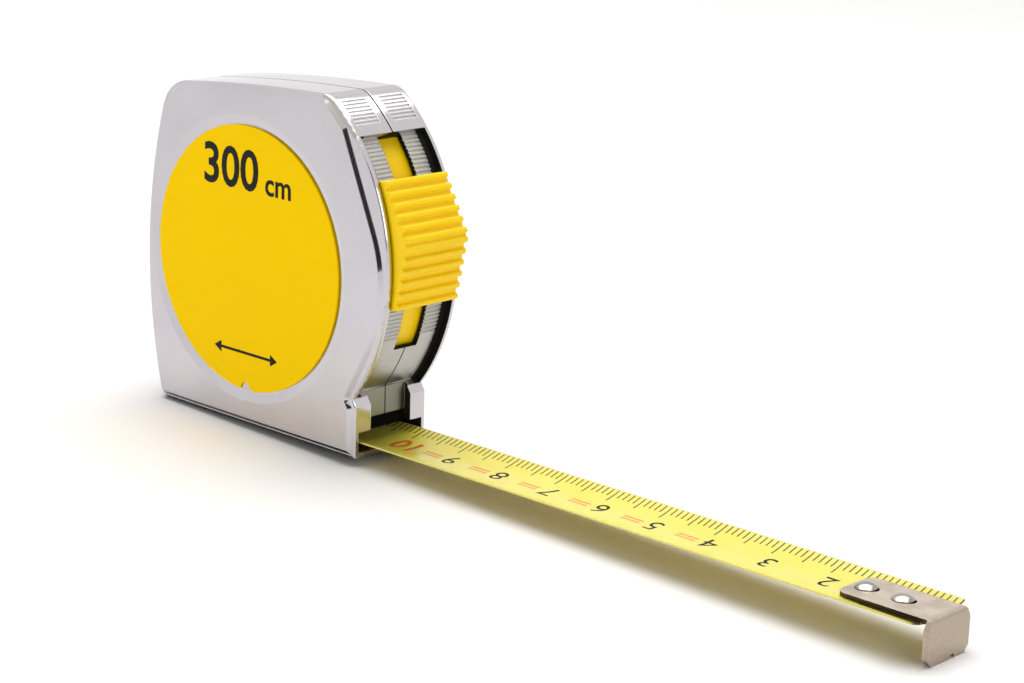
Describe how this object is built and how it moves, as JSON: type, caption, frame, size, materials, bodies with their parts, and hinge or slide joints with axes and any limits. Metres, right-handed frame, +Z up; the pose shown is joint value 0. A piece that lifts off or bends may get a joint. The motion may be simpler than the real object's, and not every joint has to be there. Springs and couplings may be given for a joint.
{
  "type": "tape measure",
  "caption": "Pocket tape measure: plated two-half case with round labels, hollow printed blade drawn out to a riveted end hook, and a ribbed thumb lock that slides along the front.",
  "frame": {"origin": "on the flat base of the case, under the spool's axis and on the seam", "axes": "+X out along the blade, +Y away from the label side that the picture shows, +Z up"},
  "size_m": [0.1523, 0.0164, 0.059],
  "materials": {
    "case_plating": "bright plating on a moulded case",
    "label_film": "smooth yellow film",
    "screw_steel": "plain steel",
    "inner_plastic": "plain dark moulding",
    "disc_plastic": "slippery pale sheet",
    "liner_plastic": "black moulding",
    "spring_steel": "blued spring steel",
    "blade_paint": "yellow lacquer with black print",
    "hook_steel": "pressed bright steel",
    "lock_plastic": "moulded yellow",
    "pad_rubber": "black rubber"
  },
  "bodies": {
    "case": {"case_near": "case_plating", "case_far": "case_plating", "label_near": "label_film", "label_far": "label_film", "case_screws": "screw_steel", "centre_post": "inner_plastic", "post_screw": "screw_steel", "wear_disc_near": "disc_plastic", "wear_disc_far": "disc_plastic", "mouth_liner": "liner_plastic"},
    "spool": {"drum": "inner_plastic", "drum_cover": "inner_plastic", "mainspring": "spring_steel", "coil": "blade_paint"},
    "blade": {"blade": "blade_paint", "hook_rivets": "hook_steel"},
    "hook": {"hook": "hook_steel"},
    "lock": {"thumb_button": "lock_plastic", "lock_strip": "lock_plastic", "brake_pad": "pad_rubber"}
  },
  "joints": [
    {"name": "blade_slide", "type": "slide", "parent": "case", "child": "blade", "axis": [1, 0, 0], "range_m": [-0.1005, 2.9], "deforming": ["blade"]},
    {"name": "hook_play", "type": "slide", "parent": "blade", "child": "hook", "axis": [1, 0, 0], "range_m": [-0.0009, 0]},
    {"name": "spool_turn", "type": "hinge", "parent": "case", "child": "spool", "pos_m": [0, 0, 0.0269], "axis": [0, -1, 0], "range_deg": [-340, 9400]},
    {"name": "lock_slide", "type": "hinge", "parent": "case", "child": "lock", "pos_m": [0, 0, 0.0295], "axis": [0, -1, 0], "range_deg": [0, 9]}
  ],
  "couplings": [
    {"joint": "spool_turn", "follows": "blade_slide", "rad_per_m": 56}
  ]
}
